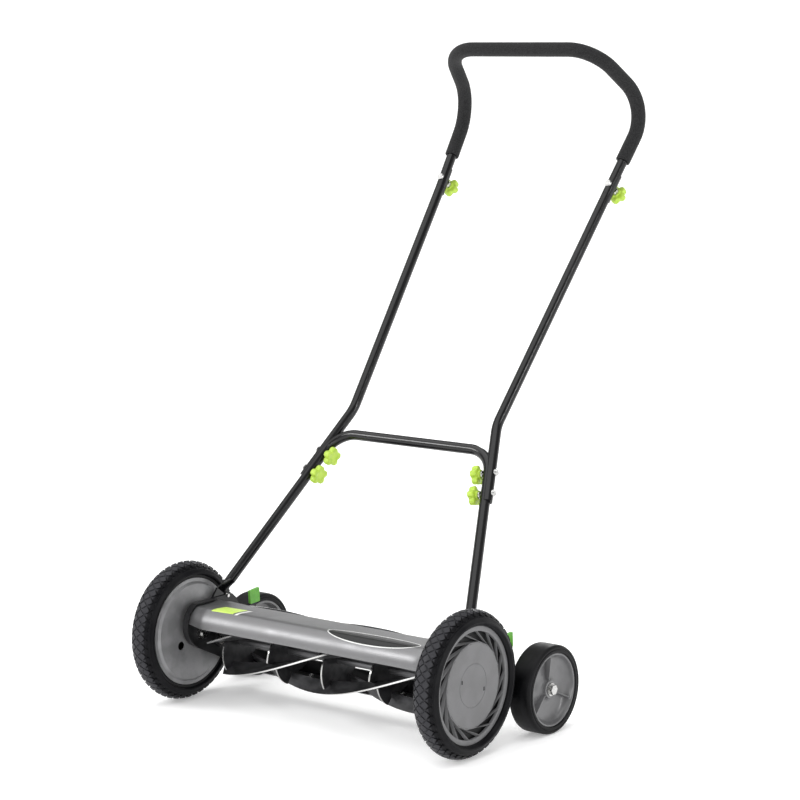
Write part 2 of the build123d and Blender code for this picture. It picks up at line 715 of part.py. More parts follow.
bolt_hole = bolt_holes()
leg_path = [leg_low, leg_corner, mirrored(leg_corner), mirrored(leg_low)]
pad_top = (284.3, 62.0, 192.6)
pad_width = 26.0
pad_way = Vector(0, pad_top[1] - handle_pivot[0], pad_top[2] - handle_pivot[1]).normalized()
with BuildPart() as lower_handle:
    add(tube_along(leg_path, corner_radius, tube_radius, tube_radius - tube_wall))
    for side in (1, -1):
        with BuildSketch(Plane(origin=(side * leg_low[0], leg_low[1], leg_low[2]),
                               x_dir=(side * leg_out.X, leg_out.Y, leg_out.Z),
                               z_dir=(side * leg_way.X, leg_way.Y, leg_way.Z))):
            Circle(tube_radius)
        with BuildSketch(Plane(origin=(side * (pad_inner + pad_thickness / 2), pad_top[1], pad_top[2]),
                               x_dir=(side, 0, 0), z_dir=pad_way)):
            RectangleRounded(pad_thickness, pad_width, 1.9)
        loft()
        with BuildSketch(side_plane(side * pad_inner)):
            with BuildLine():
                normal = Vector(0, -pad_way.Z, pad_way.Y)
                corners = [(pad_top[1] + normal.Y * 13, pad_top[2] + normal.Z * 13),
                           (handle_pivot[0] + normal.Y * 13, handle_pivot[1] + normal.Z * 13),
                           (handle_pivot[0] - pad_way.Y * 13, handle_pivot[1] - pad_way.Z * 13),
                           (handle_pivot[0] - normal.Y * 13, handle_pivot[1] - normal.Z * 13),
                           (pad_top[1] - normal.Y * 13, pad_top[2] - normal.Z * 13)]
                Line(corners[0], corners[1])
                ThreePointArc(corners[1], corners[2], corners[3])
                Polyline(corners[3], corners[4], corners[0])
            make_face()
            with Locations(handle_pivot):
                Circle(4.0 + running, mode=Mode.SUBTRACT)
        extrude(amount=side * pad_thickness)
    add(bolt_hole, mode=Mode.SUBTRACT)
    add(mirror(bolt_hole, about=Plane.YZ), mode=Mode.SUBTRACT)
save(lower_handle.part, "lower_handle")

saddle_end = lower_bolt + leg_out * leg_shift - leg_way * 16
saddle_top = upper_bolt - grip_out * grip_shift + grip_way * 26
saddle_low = upper_bolt - grip_out * grip_shift - grip_way * 30
upper_path = [tube_seam, grip_bend, grip_corner, mirrored(grip_corner), mirrored(grip_bend),
              mirrored(tube_seam)]
with BuildPart() as middle_tube:
    add(tube_along([tuple(saddle_end), middle_bend, tube_seam], 80.0, tube_radius))
    add(bar_between(tuple(saddle_low), tuple(saddle_top), tube_radius))
    add(bar_between(along(middle_bend, tube_seam, 20), along(tube_seam, middle_bend, 34),
                    tube_radius - tube_wall), mode=Mode.SUBTRACT)
    add(tube_along(leg_path, corner_radius, tube_radius + 0.1), mode=Mode.SUBTRACT)
    add(bar_between(tube_seam, tuple(Vector(*tube_seam) + grip_way * 90), tube_radius + 0.1),
        mode=Mode.SUBTRACT)
    add(bolt_hole, mode=Mode.SUBTRACT)
save_pair(middle_tube.part, "middle_tube")

with BuildPart() as upper_handle:
    upper_ends = upper_path
    upper_ends[0] = along(tube_seam, grip_bend, 0.3)
    upper_ends[-1] = mirrored(upper_ends[0])
    add(tube_along(upper_ends, grip_radius, tube_radius, tube_radius - tube_wall))
    add(bolt_hole, mode=Mode.SUBTRACT)
    add(mirror(bolt_hole, about=Plane.YZ), mode=Mode.SUBTRACT)
save(upper_handle.part, "upper_handle")

with BuildPart() as foam_grip:
    foam_ends = list(upper_path)
    foam_ends[0] = along(tube_seam, grip_bend, 75.9)
    foam_ends[-1] = mirrored(foam_ends[0])
    add(tube_along(foam_ends, grip_radius, foam_radius, tube_radius + 0.05))
save(foam_grip.part, "foam_grip")

knob_length = 16.5
with BuildPart() as handle_bolts:
    for name, centre, out, seat, start in bolts:
        with BuildSketch(Plane(origin=tuple(centre + out * seat), z_dir=tuple(out))):
            Circle(6.5)
        extrude(amount=2.0)
        with BuildSketch(Plane(origin=tuple(centre + out * (seat + 2)), z_dir=tuple(out))):
            Circle(6.5)
        extrude(amount=2.2, taper=32)
        add(bar_between(tuple(centre + out * seat), tuple(centre - out * (start + 12)), bolt_radius))
        under = start - 0.3
        rear = tube_radius + (grip_shift if name == "upper" else 0.5)
        with BuildSketch(Plane(origin=tuple(centre - out * rear), z_dir=tuple(-out))):
            Circle(7.0)
        extrude(amount=under - rear)
        # The washer's seat follows the round tube.
        if name == "upper":
            add(bar_between(tuple(centre - out * grip_shift - grip_way * 20),
                            tuple(centre - out * grip_shift + grip_way * 20), tube_radius),
                mode=Mode.SUBTRACT)
    mirror(about=Plane.YZ)
save(handle_bolts.part, "handle_bolts")

for name, centre, out, seat, start in bolts:
    with BuildPart() as knob:
        with BuildSketch(Plane(origin=tuple(centre - out * start), z_dir=tuple(-out))):
            Circle(9)
        extrude(amount=4)
        with BuildSketch(Plane(origin=tuple(centre - out * (start + 3.5)), z_dir=tuple(-out))):
            Circle(14)
            with PolarLocations(12.7, 5):
                Circle(6)
        extrude(amount=knob_length - 3.5)
        add(bar_between(tuple(centre - out * (start - 1)), tuple(centre - out * (start + 13)),
                        bolt_radius + running), mode=Mode.SUBTRACT)
    save_pair(knob.part, name + "_knob")
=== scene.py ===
import json
from math import acos, cos, pi, radians, sin, sqrt, tan

import bpy
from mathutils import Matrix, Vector


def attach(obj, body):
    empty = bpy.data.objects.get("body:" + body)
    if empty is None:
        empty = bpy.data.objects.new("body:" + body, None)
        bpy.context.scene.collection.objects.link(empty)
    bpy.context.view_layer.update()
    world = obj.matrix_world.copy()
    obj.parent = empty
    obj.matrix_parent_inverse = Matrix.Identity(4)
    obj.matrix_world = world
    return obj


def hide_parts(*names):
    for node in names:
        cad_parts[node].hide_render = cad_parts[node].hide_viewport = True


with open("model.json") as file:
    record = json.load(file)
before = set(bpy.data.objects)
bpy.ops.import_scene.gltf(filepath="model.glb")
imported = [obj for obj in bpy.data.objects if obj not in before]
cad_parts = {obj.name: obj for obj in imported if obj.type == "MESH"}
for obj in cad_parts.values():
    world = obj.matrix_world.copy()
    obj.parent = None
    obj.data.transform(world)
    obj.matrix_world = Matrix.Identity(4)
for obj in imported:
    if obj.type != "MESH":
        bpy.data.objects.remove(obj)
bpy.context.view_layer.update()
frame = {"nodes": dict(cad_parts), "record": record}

# All lengths below are in millimetres, in the CAD's frame, and become metres in make_mesh().
MM = 0.001
SIDES = (("left", 1), ("right", -1))
AXLE = (0.0, 127.0)
REEL = (60 * cos(radians(-17.35)), 127 + 60 * sin(radians(-17.35)))
TAIL_AXLE = (211.8, 78.4)
WHEEL_MIDDLE = 318.1
TAIL_MIDDLE = 333.0
RIM_RADIUS = 101.2


# Materials ---------------------------------------------------------------------------------------
class Finish:
    """A principled material whose colour, roughness and bump come from procedural nodes."""

    def __init__(self, name, color, rough, metallic=0.0, coat=0.0, coat_rough=0.1, specular=0.5):
        self.material = bpy.data.materials.new(name)
        self.material.use_nodes = True
        self.tree = self.material.node_tree
        self.bsdf = self.tree.nodes["Principled BSDF"]
        self.coords = self.tree.nodes.new("ShaderNodeTexCoord")
        self.color = color
        self.rough = rough
        self.metal = metallic
        self.height = None
        self.bsdf.inputs["Coat Weight"].default_value = coat
        self.bsdf.inputs["Coat Roughness"].default_value = coat_rough
        self.bsdf.inputs["Specular IOR Level"].default_value = specular

    def feed(self, source, socket):
        """Link a node's output to the socket, or set a colour or number on it."""
        if isinstance(source, tuple):
            socket.default_value = (*source, 1)
        elif isinstance(source, (int, float)):
            socket.default_value = source
        else:
            self.tree.links.new(source, socket)

    def noise(self, scale, detail=2.0, roughness=0.5, stretch=(1, 1, 1)):
        mapping = self.tree.nodes.new("ShaderNodeMapping")
        mapping.inputs["Scale"].default_value = stretch
        self.tree.links.new(self.coords.outputs["Object"], mapping.inputs["Vector"])
        node = self.tree.nodes.new("ShaderNodeTexNoise")
        node.inputs["Scale"].default_value = scale
        node.inputs["Detail"].default_value = detail
        node.inputs["Roughness"].default_value = roughness
        self.tree.links.new(mapping.outputs["Vector"], node.inputs["Vector"])
        return node.outputs["Fac"]

    def cells(self, scale):
        node = self.tree.nodes.new("ShaderNodeTexVoronoi")
        node.inputs["Scale"].default_value = scale
        self.tree.links.new(self.coords.outputs["Object"], node.inputs["Vector"])
        return node.outputs["Distance"]

    def math(self, operation, a, b=0.0, c=0.0):
        node = self.tree.nodes.new("ShaderNodeMath")
        node.operation = operation
        for socket, source in zip(node.inputs, (a, b, c)):
            self.feed(source, socket)
        return node.outputs[0]

    def band(self, source, low, high, to_low=0.0, to_high=1.0):
        node = self.tree.nodes.new("ShaderNodeMapRange")
        node.interpolation_type = "SMOOTHSTEP"
        for label, number in (("From Min", low), ("From Max", high), ("To Min", to_low), ("To Max", to_high)):
            node.inputs[label].default_value = number
        self.tree.links.new(source, node.inputs["Value"])
        return node.outputs["Result"]

    def mix_color(self, mask, color):
        node = self.tree.nodes.new("ShaderNodeMix")
        node.data_type = "RGBA"
        self.tree.links.new(mask, node.inputs["Factor"])
        self.feed(self.color, node.inputs["A"])
        self.feed(color, node.inputs["B"])
        self.color = node.outputs["Result"]

    def mix_value(self, name, mask, number):
        node = self.tree.nodes.new("ShaderNodeMix")
        node.data_type = "FLOAT"
        self.tree.links.new(mask, node.inputs["Factor"])
        self.feed(getattr(self, name), node.inputs["A"])
        self.feed(number, node.inputs["B"])
        setattr(self, name, node.outputs["Result"])

    def vary(self, source, color=None, rough=None, low=0.35, high=0.65):
        mask = self.band(source, low, high)
        if color is not None:
            self.mix_color(mask, color)
        if rough is not None:
            self.mix_value("rough", mask, rough)

    def bump(self, source, distance):
        term = self.math("MULTIPLY", source, distance)
        self.height = term if self.height is None else self.math("ADD", self.height, term)

    def axis(self, name):
        node = self.tree.nodes.new("ShaderNodeSeparateXYZ")
        self.tree.links.new(self.coords.outputs["Object"], node.inputs[0])
        return node.outputs[name]

    def radius_about(self, centre):
        across = self.math("SUBTRACT", self.axis("Y"), centre[0] * MM)
        up = self.math("SUBTRACT", self.axis("Z"), centre[1] * MM)
        total = self.math("ADD", self.math("MULTIPLY", across, across), self.math("MULTIPLY", up, up))
        return self.math("SQRT", total)

    def facing_sideways(self):
        """1 on faces that look along X, 0 on faces that look away from the X axis."""
        node = self.tree.nodes.new("ShaderNodeSeparateXYZ")
        self.tree.links.new(self.coords.outputs["Normal"], node.inputs[0])
        return self.math("ABSOLUTE", node.outputs["X"])

    def done(self):
        self.feed(self.color, self.bsdf.inputs["Base Color"])
        self.feed(self.rough, self.bsdf.inputs["Roughness"])
        self.feed(self.metal, self.bsdf.inputs["Metallic"])
        if self.height is not None:
            node = self.tree.nodes.new("ShaderNodeBump")
            node.inputs["Strength"].default_value = 1.0
            node.inputs["Distance"].default_value = MM
            self.tree.links.new(self.height, node.inputs["Height"])
            self.tree.links.new(node.outputs["Normal"], self.bsdf.inputs["Normal"])
        return self.material


def make_materials():
    made = {}
    f = Finish("tube_black", (0.003, 0.003, 0.0035), 0.14, specular=0.4)
    f.vary(f.noise(40), rough=0.2)
    f.bump(f.noise(900, 1), 0.012)
    made["tube_black"] = f.done()

    f = Finish("frame_black", (0.010, 0.010, 0.011), 0.36, specular=0.32)
    f.vary(f.noise(60, 3), color=(0.016, 0.016, 0.017), rough=0.46)
    f.bump(f.noise(1400, 2), 0.03)
    made["frame_black"] = f.done()

    f = Finish("cover_silver", (0.135, 0.135, 0.138), 0.36, metallic=0.85, coat=0.06, coat_rough=0.2)
    f.vary(f.cells(2600), color=(0.225, 0.225, 0.229), low=0.2, high=0.7)
    f.vary(f.noise(14, 3), rough=0.42)
    f.bump(f.noise(2200, 1), 0.006)
    made["cover_silver"] = f.done()

    f = Finish("dust_grey", (0.19, 0.19, 0.195), 0.33, metallic=0.4, specular=0.45)
    f.vary(f.noise(30, 4), color=(0.25, 0.25, 0.256), rough=0.42)
    f.bump(f.noise(1200, 2), 0.02)
    made["dust_grey"] = f.done()

    f = Finish("blade_steel", (0.050, 0.050, 0.053), 0.34, metallic=0.75)
    f.vary(f.noise(90, 4, stretch=(0.25, 1, 1)), color=(0.080, 0.080, 0.084), rough=0.44)
    f.bump(f.noise(1600, 2), 0.012)
    ground = f.band(f.radius_about(REEL), 0.0664, 0.0667)      # the sharpened outer edge
    f.mix_color(ground, (0.74, 0.74, 0.73))
    f.mix_value("rough", ground, 0.2)
    f.mix_value("metal", ground, 1.0)
    made["blade_steel"] = f.done()

    f = Finish("spider_steel", (0.022, 0.022, 0.024), 0.36, metallic=0.5)
    f.vary(f.noise(70, 4), color=(0.04, 0.04, 0.042), rough=0.46)
    outermost = f.band(f.radius_about(REEL), 0.0465, 0.0475)
    rim = f.math("MULTIPLY", f.band(f.facing_sideways(), 0.7, 0.4), outermost)
    f.mix_color(rim, (0.50, 0.50, 0.49))
    f.mix_value("rough", rim, 0.26)
    f.mix_value("metal", rim, 1.0)
    made["spider_steel"] = f.done()

    f = Finish("knife_steel", (0.14, 0.14, 0.145), 0.32, metallic=0.9)
    f.vary(f.noise(60, 5, stretch=(0.1, 1, 1)), color=(0.22, 0.22, 0.22), rough=0.42)
    made["knife_steel"] = f.done()

    f = Finish("shaft_steel", (0.10, 0.10, 0.104), 0.3, metallic=0.9)
    f.vary(f.noise(80, 4, stretch=(0.2, 1, 1)), color=(0.15, 0.15, 0.155), rough=0.38)
    made["shaft_steel"] = f.done()

    f = Finish("zinc", (0.46, 0.457, 0.45), 0.2, metallic=1.0)
    f.vary(f.noise(250, 4), color=(0.60, 0.60, 0.59), rough=0.3)
    f.bump(f.noise(1800, 2), 0.01)
    made["zinc"] = f.done()

    f = Finish("gear_steel", (0.33, 0.32, 0.31), 0.38, metallic=0.9)
    f.vary(f.noise(180, 4), color=(0.24, 0.23, 0.22), rough=0.5)
    made["gear_steel"] = f.done()

    f = Finish("bronze", (0.50, 0.33, 0.15), 0.4, metallic=0.9)
    f.vary(f.noise(300, 3), color=(0.38, 0.24, 0.11), rough=0.5)
    made["bronze"] = f.done()

    f = Finish("wheel_plastic", (0.006, 0.006, 0.0065), 0.5, specular=0.25)
    f.vary(f.noise(50, 3), color=(0.010, 0.010, 0.0105), rough=0.6)
    f.bump(f.noise(1500, 2), 0.03)
    made["wheel_plastic"] = f.done()

    f = Finish("hubcap_grey", (0.13, 0.13, 0.133), 0.46, specular=0.35)
    f.vary(f.noise(28, 4), color=(0.155, 0.155, 0.159), rough=0.56)
    f.bump(f.noise(1300, 3), 0.035)
    made["hubcap_grey"] = f.done()

    f = Finish("tail_rim_grey", (0.11, 0.11, 0.113), 0.3, coat=0.25, coat_rough=0.14)
    f.vary(f.noise(30, 3), color=(0.135, 0.135, 0.139), rough=0.38)
    f.bump(f.noise(1000, 2), 0.015)
    made["tail_rim_grey"] = f.done()

    f = Finish("tyre_rubber", (0.003, 0.003, 0.004), 0.34, specular=0.1)
    f.vary(f.noise(24, 4), color=(0.007, 0.007, 0.008), rough=0.46)
    # Painted sheen: the tread band is coloured lighter than the sidewall to stand in for the light catching
    # the blocks.
    tread = f.band(f.radius_about(AXLE), 0.1215, 0.1235)
    f.mix_color(tread, (0.036, 0.036, 0.040))
    f.bump(f.noise(900, 3), 0.05)
    made["tyre_rubber"] = f.done()

    f = Finish("tail_tyre", (0.003, 0.003, 0.0035), 0.38, specular=0.12)
    f.vary(f.noise(20, 4, stretch=(3, 1, 1)), color=(0.008, 0.008, 0.009), rough=0.5)
    f.bump(f.noise(700, 3), 0.05)
    made["tail_tyre"] = f.done()

    f = Finish("foam", (0.009, 0.009, 0.0095), 0.8, specular=0.2)
    f.vary(f.noise(500, 3), color=(0.022, 0.022, 0.023))
    f.bump(f.cells(1100), 0.16)
    f.bump(f.noise(160, 3), 0.12)
    f.bsdf.inputs["Sheen Weight"].default_value = 0.06
    made["foam"] = f.done()

    f = Finish("knob_lime", (0.37, 0.55, 0.045), 0.3)
    f.vary(f.noise(120, 2), color=(0.45, 0.63, 0.07), rough=0.38)
    f.bump(f.noise(1500, 2), 0.02)
    f.bsdf.inputs["Subsurface Weight"].default_value = 0.12
    f.bsdf.inputs["Subsurface Radius"].default_value = (0.004, 0.005, 0.001)
    made["knob_lime"] = f.done()

    f = Finish("tab_green", (0.09, 0.36, 0.02), 0.36)
    f.vary(f.noise(120, 2), color=(0.12, 0.42, 0.03), rough=0.44)
    f.bump(f.noise(1500, 2), 0.02)
    made["tab_green"] = f.done()

    f = Finish("decal_lime", (0.52, 0.74, 0.10), 0.35)
    f.vary(f.noise(200, 2), color=(0.60, 0.80, 0.16))
    made["decal_lime"] = f.done()

    f = Finish("decal_white", (0.78, 0.79, 0.77), 0.35)
    f.vary(f.noise(200, 2), color=(0.70, 0.71, 0.69))
    made["decal_white"] = f.done()

    f = Finish("decal_black", (0.006, 0.006, 0.0065), 0.28, specular=0.35)
    f.vary(f.noise(200, 2), color=(0.010, 0.011, 0.0105), rough=0.34)
    made["decal_black"] = f.done()

    f = Finish("floor", (0.95, 0.95, 0.95), 0.8, specular=0.1)
    f.vary(f.noise(3, 2), color=(0.94, 0.94, 0.94))
    f.bsdf.inputs["Emission Color"].default_value = (1, 1, 1, 1)
    f.bsdf.inputs["Emission Strength"].default_value = 0.28
    made["floor"] = f.done()
    return made


MATERIALS = make_materials()


# Mesh helpers -----------------------------------------------------------------------------------
def make_mesh(name, verts, faces, slot, body, replaced=(), material=None, sharp=38):
    """A piece from points in millimetres, shaded smooth except across sharp angles."""
    mesh = bpy.data.meshes.new(name)
    mesh.from_pydata([tuple(c * MM for c in v) for v in verts], [], faces)
    mesh.validate()
    mesh.update()
    mesh.shade_smooth()
    mesh.set_sharp_from_angle(angle=radians(sharp))
    piece = bpy.data.objects.new(name, mesh)
    bpy.context.scene.collection.objects.link(piece)
    mesh.materials.append(MATERIALS[material or slot])
    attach(piece, body)
    if replaced:
        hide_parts(*replaced)
    return piece


def mirrored(verts, faces, side):
    """The same surface on the given side: the right side is the mirror image of the left."""
    if side > 0:
        return verts, faces
    return [(-x, y, z) for x, y, z in verts], [tuple(reversed(f)) for f in faces]


def join(*surfaces):
    verts, faces = [], []
    for more_verts, more_faces in surfaces:
        base = len(verts)
        verts.extend(more_verts)
        faces.extend(tuple(i + base for i in f) for f in more_faces)
    return verts, faces


def turned(profile, centre, segments=96, closed=True):
    """Surface of revolution of (x, radius) points about the crosswise axis through centre."""
    verts, faces = [], []
    count = len(profile)
    for k in range(segments):
        angle = 2 * pi * k / segments
        for x, r in profile:
            verts.append((x, centre[0] + r * cos(angle), centre[1] + r * sin(angle)))
    for k in range(segments):
        here, there = k * count, (k + 1) % segments * count
        for i in range(count if closed else count - 1):
            j = (i + 1) % count
            faces.append((here + i, there + i, there + j, here + j))
    return verts, faces


def on_disc(centre, radius, degrees):
    return centre[0] + radius * cos(radians(degrees)), centre[1] + radius * sin(radians(degrees))


def smooth_step(value, low, high):
    t = min(1.0, max(0.0, (value - low) / (high - low)))
    return t * t * (3 - 2 * t)


def fillet_path(points, radius, steps=20):
    """Points along straight runs joined by arcs of one radius."""
    points = [Vector(p) for p in points]
    path = [points[0]]
    for before, here, after in zip(points, points[1:], points[2:]):
        a, b = (before - here).normalized(), (after - here).normalized()
        half = acos(max(-1.0, min(1.0, a.dot(b)))) / 2
        middle = here + (a + b).normalized() * radius / sin(half)
        start, end = here + a * radius / tan(half) - middle, here + b * radius / tan(half) - middle
        side = (end - start * end.dot(start) / start.length_squared).normalized() * radius
        for k in range(steps + 1):
            turn = (pi - 2 * half) * k / steps
            path.append(middle + start * cos(turn) + side * sin(turn))
    path.append(points[-1])
    return path


def swept(path, rings, around=40):
    """A round skin along a path; rings are (distance along, radius)."""
    lengths = [0.0]
    for a, b in zip(path, path[1:]):
        lengths.append(lengths[-1] + (b - a).length)
    total = lengths[-1]

    def at(distance):
        distance = min(max(distance, 0.0), total)
        for k in range(len(path) - 1):
            if distance <= lengths[k + 1] or k == len(path) - 2:
                run = lengths[k + 1] - lengths[k]
                t = (distance - lengths[k]) / run
                return path[k].lerp(path[k + 1], t), (path[k + 1] - path[k]).normalized()

    verts, faces = [], []
    across = None
    for distance, radius in rings:
        centre, way = at(distance)
        if across is None:
            across = way.orthogonal().normalized()
        across = (across - way * across.dot(way)).normalized()
        up = way.cross(across)
        for k in range(around):
            angle = 2 * pi * k / around
            verts.append(tuple(centre + (across * cos(angle) + up * sin(angle)) * radius))
    for i in range(len(rings) - 1):
        for k in range(around):
            n = (k + 1) % around
            faces.append((i * around + k, i * around + n, (i + 1) * around + n, (i + 1) * around + k))
    return verts, faces


# Drive wheels: tyres with diamond blocks -----------------------------------------------------------
TYRE_HALF_WIDTH = 25.5
TYRE_HALF_HEIGHT = 25.8
TYRE_ARC = 25.6              # mean radius of the section, which turns a length across into an angle
TREAD_ROWS = 2               # rows of blocks on each side of the middle one
TREAD_HALF = 9.6             # half a block's diagonal, across the tyre
TREAD_COUNT = 46             # blocks in a row
TREAD_EDGE = 22.6            # the blocks' limit, from the crown
SHOULDER = 23.6              # where the grooves end and the sidewall starts, from the crown
GROOVE = 2.1                 # depth


def tyre_section(across, lift):
    """(x, radius) on the tyre's section: across is an angle from the crown, lift is above the surface."""
    return (WHEEL_MIDDLE - (TYRE_HALF_WIDTH + lift) * sin(across),
            RIM_RADIUS + (TYRE_HALF_HEIGHT + lift) * cos(across))


def tyre_point(around, across, lift):
    x, r = tyre_section(across, lift)
    return x, AXLE[0] + r * cos(around), AXLE[1] + r * sin(around)


def ridge(edge, middle, half_width, height):
    """Height of a small ridge that runs around the sidewall."""
    return height * max(0.0, 1 - abs(edge - middle) / half_width)


def tyre_skin():
    """The tyre without its blocks: the bottom of the grooves, the sidewalls with two ridges, and the bore."""
    profile = []
    for k in range(61):
        across = radians(-80 + 160 * k / 60)
        edge = abs(across) * TYRE_ARC
        if edge < SHOULDER:
            lift = -GROOVE * (1 - smooth_step(edge, 21.5, SHOULDER))
        else:
            lift = ridge(edge, 26.2, 1.3, 0.45) + ridge(edge, 33.2, 1.2, 0.5) - 0.5
        profile.append(tyre_section(across, lift))
    profile += [(297.5, 103.2), (301, 103.2), (301, RIM_RADIUS), (338, RIM_RADIUS)]
    return turned(profile, AXLE, 180)


def tread_blocks():
    """Diamond blocks in rows that interlock: each is a flat top with a small chamfer and sloping sides."""
    verts, faces = [], []
    half_around = pi / TREAD_COUNT
    outline = [(1, 0), (0.5, 0.5), (0, 1), (-0.5, 0.5), (-1, 0), (-0.5, -0.5), (0, -1), (0.5, -0.5)]
    rings = ((0.74, 0.0), (0.79, -0.3), (0.85, -2.3))
    for row in range(-TREAD_ROWS, TREAD_ROWS + 1):
        for k in range(TREAD_COUNT):
            middle = (2 * k + row % 2) * half_around
            base = len(verts)
            verts.append(tyre_point(middle, row * TREAD_HALF / TYRE_ARC, 0.0))
            for scale, lift in rings:
                limit = TREAD_EDGE - lift * 0.4
                for a, b in outline:
                    across = max(-limit, min(limit, (row + b * scale) * TREAD_HALF))
                    verts.append(tyre_point(middle + a * scale * half_around, across / TYRE_ARC, lift))
            for i in range(8):
                j = (i + 1) % 8
                faces.append((base, base + 1 + i, base + 1 + j))
                for ring in range(2):
                    start = base + 1 + ring * 8
                    faces.append((start + i, start + 8 + i, start + 8 + j, start + j))
    return verts, faces


tyre_surface = join(tyre_skin(), tread_blocks())
for side_name, side in SIDES:
    make_mesh(f"tyre_{side_name}_treaded", *mirrored(*tyre_surface, side), "tyre_rubber",
              f"{side_name}_wheel", (f"tyre_{side_name}",), sharp=30)


# Hubcaps -------------------------------------------------------------------------------------------
VANES = 18
FACE = 334.5                 # the disc's outboard face
WEB_END = 329.4              # how far inboard the vanes reach
DISC = 73.5                  # from the axle to each straight side of the disc
OPENING = 92.0               # radius of the rim's inner edge


def vane_line(number, distance):
    """Point on a vane's ridge, a straight line along one side of the disc and on to the rim."""
    foot = radians(360 / VANES * number + 6)
    return Vector((0, AXLE[0] + DISC * cos(foot) - distance * sin(foot),
                   AXLE[1] + DISC * sin(foot) + distance * cos(foot)))


def at_depth(point, x):
    return (x, point.y, point.z)


def hubcap_surface():
    """Rim, many-sided disc with a fine round groove, and the vanes with the gaps between them."""
    rim = turned([(329, 98.5), (329, RIM_RADIUS), (333.9, RIM_RADIUS), (334.45, 100.9), (334.6, 100.2),
                  (334.6, 93.2), (334.4, 92.4), (333.8, OPENING), (329.6, OPENING - 0.3), (329.6, 98.5)],
                 AXLE, 144)
    disc = turned([(FACE, DISC - 1.5), (FACE, 38.0), (334.0, 37.6), (333.9, 37.2), (334.0, 36.8),
                   (FACE, 36.4), (334.55, 20), (334.6, 6), (334.6, 0.05)], AXLE, 144, closed=False)
    parts = [rim, disc]
    corner = DISC * tan(pi / VANES)                    # half the length of one side of the disc
    outer = sqrt((OPENING + 0.5) ** 2 - DISC ** 2)     # where a ridge meets the rim
    steps = 8
    for number in range(VANES):
        # Edge of the disc along this side, with its small chamfer and wall.
        verts, faces = [], []
        for i in range(9):
            point = vane_line(number, corner * (i / 4 - 1))
            inward = (Vector((0, AXLE[0], AXLE[1])) - point).normalized()
            verts += [at_depth(point + inward * (DISC * 0.025), FACE), at_depth(point + inward * 0.5, FACE),
                      at_depth(point, 334.1), at_depth(point, 333.6)]
        for i in range(8):
            for j in range(3):
                faces.append((i * 4 + j, i * 4 + j + 1, i * 4 + j + 5, i * 4 + j + 4))
        parts.append((verts, faces))
        # Web that slopes in from this ridge, and the next ridge's thin wall over the gap.
        web, wall = [], []
        for i in range(steps + 1):
            t = i / steps
            here = vane_line(number, -corner + (outer + corner) * t)
            there = vane_line(number - 1, corner + (outer - corner) * t)
            away = there - here
            for share, x in ((0.0, 334.0), (0.04, 333.6), (0.11, 331.8), (0.22, WEB_END)):
                web.append(at_depth(here + away * share, x))
            back = (vane_line(number - 1, 0) - Vector((0, AXLE[0], AXLE[1]))).normalized()
            for shift, x in ((0.0, 333.9), (0.15, 334.4), (0.75, 334.4), (0.9, 333.9), (1.0, WEB_END)):
                wall.append(at_depth(there - back * shift * min(1.0, 0.25 + t), x))
        for rows, count in ((web, 4), (wall, 5)):
            faces = [(i * count + j, i * count + count + j, i * count + count + j + 1, i * count + j + 1)
                     for i in range(steps) for j in range(count - 1)]
            parts.append((rows, faces))
    return join(*parts)


def hubcap_slots():
    """The two small dark slots beside the disc's middle."""
    verts, faces = [], []
    for degrees in (160, 340):
        base = len(verts)
        y, z = on_disc(AXLE, 33.0, degrees)
        for dy, dz in ((-1.7, -3.4), (1.7, -3.4), (1.7, 3.4), (-1.7, 3.4)):
            verts.append((334.59, y + dy, z + dz))
        verts.extend([(333.4, v[1], v[2]) for v in verts[base:base + 4]])
        faces.append((base, base + 1, base + 2, base + 3))
        for i in range(4):
            j = (i + 1) % 4
            faces.append((base + i, base + 4 + i, base + 4 + j, base + j))
    return verts, faces


cap = hubcap_surface()
slots = hubcap_slots()
for side_name, side in SIDES:
    make_mesh(f"hubcap_{side_name}_vaned", *mirrored(*cap, side), "hubcap_grey", f"{side_name}_wheel",
              (f"hubcap_{side_name}",), sharp=32)
    make_mesh(f"hubcap_{side_name}_slots", *mirrored(*slots, side), "wheel_plastic", f"{side_name}_wheel")


# Tail wheels ----------------------------------------------------------------------------------------
TAIL_RADIUS = 78.4

# Half of the tyre's section, from the edge of its flat tread to its bore: (from the middle, radius).
TAIL_PROFILE = [(14.5, TAIL_RADIUS), (17.6, 78.15), (20.1, 77.1), (21.6, 75.2), (22.0, 73.0),
                (21.8, 72.2), (21.2, 71.8), (21.2, 71.0), (21.9, 70.6), (22.3, 69.8), (22.4, 67.2),
                (22.0, 65.6), (21.1, 64.5), (20.0, 64.3)]


def tail_tyre_surface():
    outer = [(TAIL_MIDDLE + x, r) for x, r in reversed(TAIL_PROFILE)]
    inner = [(TAIL_MIDDLE - x, r) for x, r in TAIL_PROFILE]
    return turned(outer + [(TAIL_MIDDLE, TAIL_RADIUS)] + inner, TAIL_AXLE, 128)


